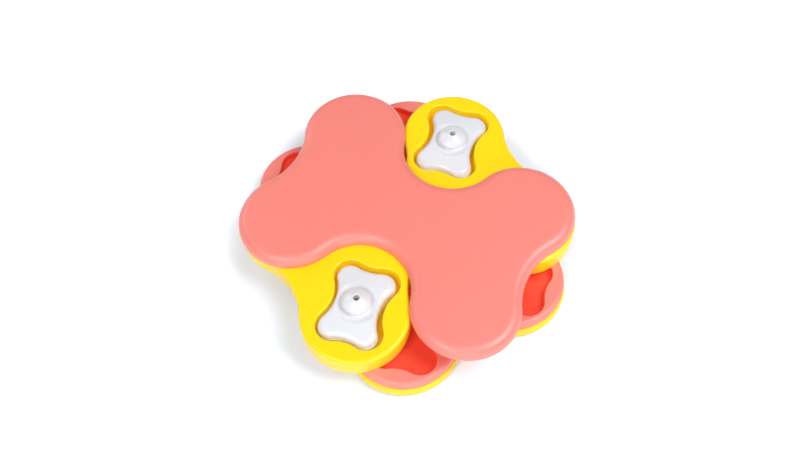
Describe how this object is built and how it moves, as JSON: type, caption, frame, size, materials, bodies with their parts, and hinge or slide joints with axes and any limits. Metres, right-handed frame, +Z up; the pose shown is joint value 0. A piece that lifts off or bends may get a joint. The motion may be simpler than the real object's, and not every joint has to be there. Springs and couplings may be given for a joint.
{
  "type": "dog puzzle feeder toy",
  "caption": "Stacked puzzle feeder: lobed tiers turn on a spindle over bone-shaped food wells, with loose bone-shaped covers that lift out.",
  "frame": {"origin": "on the spindle's axis, in the plane that the rubber feet stand on", "axes": "+Z up along the spindle; the view along +Y shows the front cover at the lower left, with the base's long axis 120 degrees round from +X"},
  "size_m": [0.265, 0.2692, 0.0476],
  "materials": {
    "coral_plastic": "satin injection-moulded plastic, coral",
    "yellow_plastic": "satin injection-moulded plastic, yellow",
    "red_plastic": "satin injection-moulded plastic, deep orange-red",
    "amber_plastic": "satin injection-moulded plastic, golden yellow",
    "white_plastic": "satin injection-moulded plastic, white",
    "bearing_plastic": "natural acetal, smooth turned faces",
    "foot_rubber": "matt dark grey rubber",
    "steel": "zinc-plated steel"
  },
  "bodies": {
    "base": {"base_deck": "yellow_plastic", "base_tray": "amber_plastic", "base_screws": "steel", "foot_front_left": "foot_rubber", "foot_front_right": "foot_rubber", "foot_rear_left": "foot_rubber", "foot_rear_right": "foot_rubber", "spindle": "bearing_plastic", "spindle_screws": "steel", "retaining_washer": "steel", "axle_screw": "steel"},
    "tier_two": {"tier_two_deck": "coral_plastic", "tier_two_tray": "red_plastic", "tier_two_screws": "steel", "lower_slip_ring": "bearing_plastic"},
    "tier_three": {"tier_three_deck": "yellow_plastic", "tier_three_tray": "amber_plastic", "tier_three_screws": "steel", "middle_slip_ring": "bearing_plastic"},
    "top": {"top_cover": "coral_plastic", "top_plate": "coral_plastic", "top_screws": "steel", "upper_slip_ring": "bearing_plastic"},
    "rear_cover": {"bone_rear": "white_plastic"},
    "front_cover": {"bone_front": "white_plastic"}
  },
  "joints": [
    {"name": "tier_two_turn", "type": "hinge", "parent": "base", "child": "tier_two", "pos_m": [0, 0, 0.015], "axis": [0, 0, 1], "continuous": true},
    {"name": "tier_three_turn", "type": "hinge", "parent": "tier_two", "child": "tier_three", "pos_m": [0, 0, 0.028], "axis": [0, 0, 1], "continuous": true},
    {"name": "top_turn", "type": "hinge", "parent": "tier_three", "child": "top", "pos_m": [0, 0, 0.04], "axis": [0, 0, 1], "range_deg": [-12, 14]},
    {"name": "front_cover_lift", "type": "slide", "parent": "tier_three", "child": "front_cover", "axis": [0, 0, 1], "range_m": [0, 0.035]},
    {"name": "rear_cover_lift", "type": "slide", "parent": "tier_three", "child": "rear_cover", "axis": [0, 0, 1], "range_m": [0, 0.035]}
  ]
}
